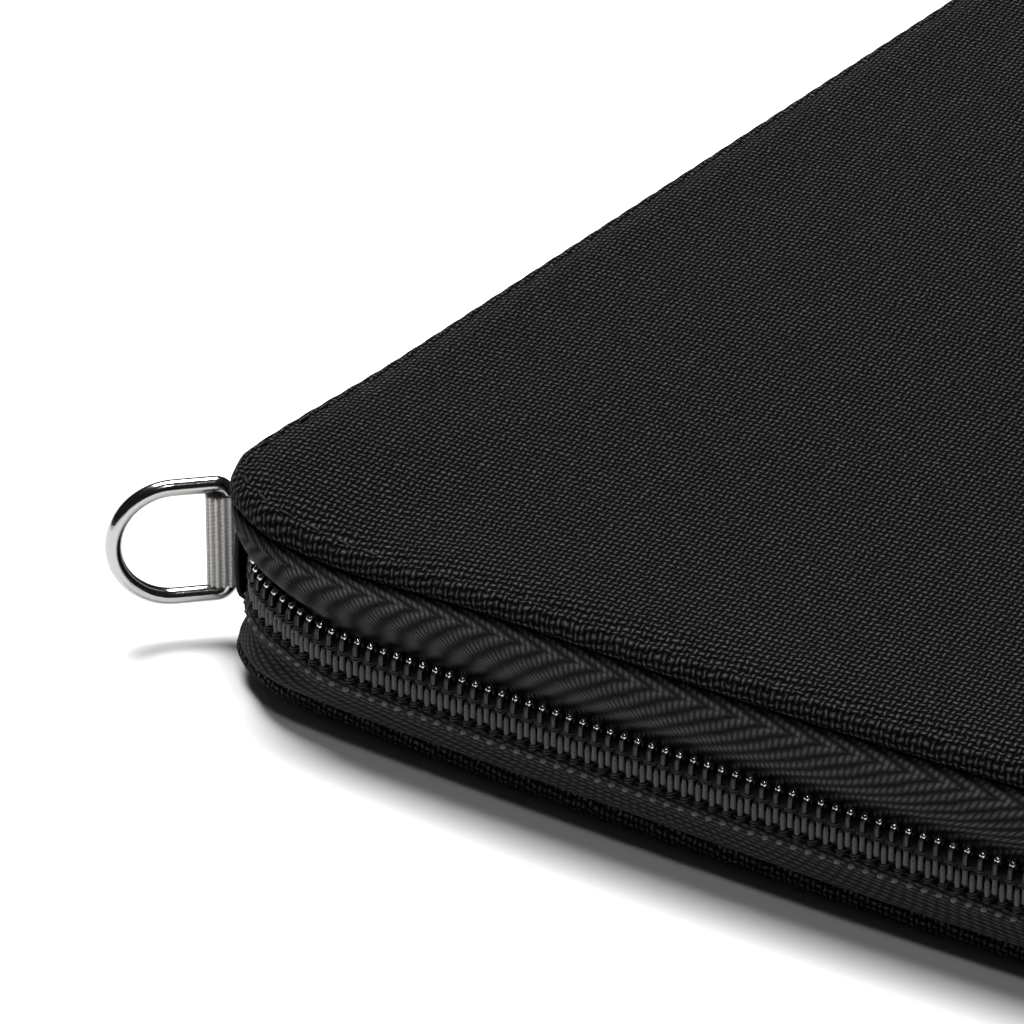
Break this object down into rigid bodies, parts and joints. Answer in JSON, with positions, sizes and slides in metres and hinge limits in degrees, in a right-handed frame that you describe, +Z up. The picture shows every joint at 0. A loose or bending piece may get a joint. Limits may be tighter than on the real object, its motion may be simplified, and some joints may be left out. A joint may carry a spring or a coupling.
{
  "type": "passport holder wallet",
  "caption": "Zip-around travel wallet: two padded fabric covers on a folding spine, coil zip on three sides, D-ring on a ribbon loop, and pockets for a passport, papers and cards.",
  "frame": {"origin": "middle of the back cover's flat underside, on which the closed wallet lies", "axes": "+X from the spine to the opening side, +Y along the spine away from the D-ring, +Z up from the back cover to the front cover"},
  "size_m": [0.1443, 0.2372, 0.0233],
  "materials": {
    "nylon_shell": "coarse plain-weave coated nylon, matt",
    "foam": "soft foam",
    "lining": "smooth fine lining fabric, matt",
    "zip_tape": "herringbone zip tape, matt",
    "coil": "semi-gloss nylon coil",
    "binding": "fine ribbed binding tape, matt",
    "pocket_fabric": "smooth nylon, matt",
    "ribbon": "grosgrain ribbon, matt",
    "ring_metal": "polished nickel plate",
    "zip_metal": "polished nickel plate"
  },
  "bodies": {
    "back": {"back_foam": "foam", "back_inner_binding": "binding", "back_lining": "lining", "back_shell": "nylon_shell", "back_zip_coil": "coil", "back_zip_tape": "zip_tape", "zip_pocket_coils": "coil", "zip_pocket_edges": "pocket_fabric", "zip_pocket_panels": "pocket_fabric", "zip_pocket_stops": "zip_metal", "zip_pocket_tapes": "zip_tape"},
    "spine": {"ribbon_loop": "ribbon", "spine_foam": "foam", "spine_lining": "lining", "spine_shell": "nylon_shell", "zip_end_tab_far": "binding", "zip_end_tab_near": "binding"},
    "front": {"card_slot_1": "pocket_fabric", "card_slot_1_edges": "pocket_fabric", "card_slot_2": "pocket_fabric", "card_slot_2_edges": "pocket_fabric", "card_slot_3": "pocket_fabric", "card_slot_3_edges": "pocket_fabric", "front_foam": "foam", "front_inner_binding": "binding", "front_lining": "lining", "front_shell": "nylon_shell", "front_zip_coil": "coil", "front_zip_tape": "zip_tape", "passport_pocket": "pocket_fabric", "passport_pocket_edges": "pocket_fabric", "slip_pocket": "pocket_fabric", "slip_pocket_edges": "pocket_fabric"},
    "ring": {"d_ring": "ring_metal"},
    "slider": {"zip_slider": "zip_metal"},
    "pull": {"zip_pull": "zip_metal"},
    "pocket_slider": {"zip_pocket_slider": "zip_metal"},
    "pocket_pull": {"zip_pocket_pull": "zip_metal"}
  },
  "joints": [
    {"name": "spine_fold", "type": "hinge", "parent": "back", "child": "spine", "pos_m": [-0.063, 0, 0.003], "axis": [0, -1, 0], "range_deg": [0, 90]},
    {"name": "cover_fold", "type": "hinge", "parent": "spine", "child": "front", "pos_m": [-0.063, 0, 0.0203], "axis": [0, -1, 0], "range_deg": [0, 90]},
    {"name": "ring_swing", "type": "hinge", "parent": "spine", "child": "ring", "pos_m": [-0.0672, -0.10167, 0.0109], "axis": [0, 0, 1], "range_deg": [-70, 70]},
    {"name": "slider_slide", "type": "slide", "parent": "back", "child": "slider", "axis": [-1, 0, 0], "range_m": [-0.075, 0]},
    {"name": "pull_swing", "type": "hinge", "parent": "slider", "child": "pull", "pos_m": [-0.036, 0.11785, 0.0108], "axis": [0, 0, 1], "range_deg": [0, 170]},
    {"name": "pocket_slider_slide", "type": "slide", "parent": "back", "child": "pocket_slider", "axis": [0, -1, 0], "range_m": [0, 0.15]},
    {"name": "pocket_pull_swing", "type": "hinge", "parent": "pocket_slider", "child": "pocket_pull", "pos_m": [0.028, 0.0783, 0.00715], "axis": [-1, 0, 0], "range_deg": [0, 30]}
  ],
  "couplings": [
    {"joint": "cover_fold", "follows": "spine_fold", "ratio": 1}
  ]
}
